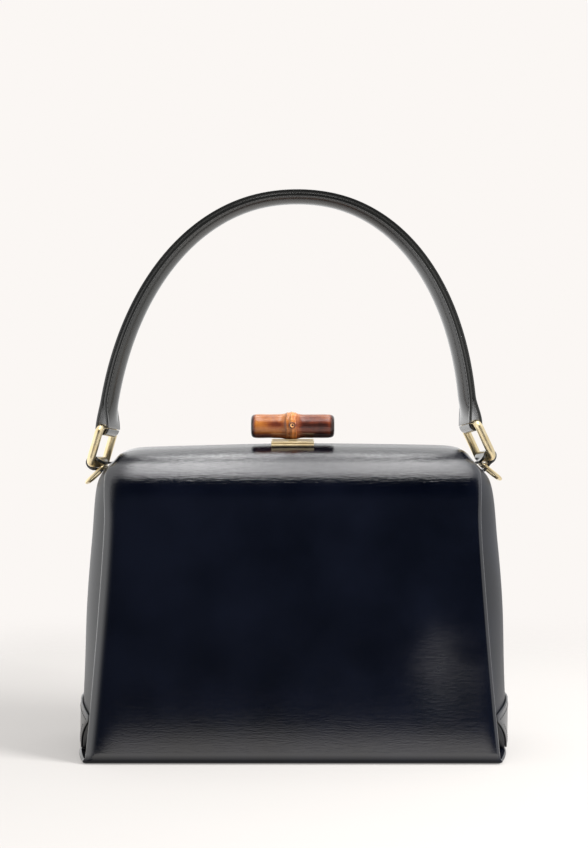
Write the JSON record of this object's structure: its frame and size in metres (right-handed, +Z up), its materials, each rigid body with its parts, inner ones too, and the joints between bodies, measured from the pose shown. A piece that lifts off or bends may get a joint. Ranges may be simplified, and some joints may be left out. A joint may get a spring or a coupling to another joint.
{
  "type": "top handle handbag with bamboo clasp",
  "caption": "Structured box handbag with a rounded roof, bulging side gussets, an arched leather strap handle on rectangular metal rings and a turning bamboo clasp.",
  "frame": {"origin": "on the surface that the bag stands on, under the middle of its base", "axes": "+Z up, +X along the mouth to the bag's right as seen from the front, +Y from the front to the back"},
  "size_m": [0.2548, 0.0918, 0.3338],
  "materials": {
    "box_calf": "glossy, glazed",
    "pale_gold": "polished plating",
    "bamboo": "scorched and lacquered"
  },
  "bodies": {
    "bag": {"body_wrap": "box_calf", "gusset_left": "box_calf", "gusset_right": "box_calf", "gusset_patch_left": "box_calf", "gusset_patch_right": "box_calf", "tab_left": "box_calf", "tab_right": "box_calf", "handle_outer": "box_calf", "handle_inner": "box_calf", "clasp_plate": "pale_gold", "handle_ring_left": "pale_gold", "handle_ring_right": "pale_gold", "strap_ring_left": "pale_gold", "strap_ring_right": "pale_gold"},
    "clasp_toggle": {"clasp_turn_plate": "pale_gold", "bamboo_toggle": "bamboo"}
  },
  "joints": [
    {"name": "clasp_turn", "type": "hinge", "parent": "bag", "child": "clasp_toggle", "pos_m": [0, 0, 0.1839], "axis": [0, 0, 1], "range_deg": [0, 90]}
  ]
}
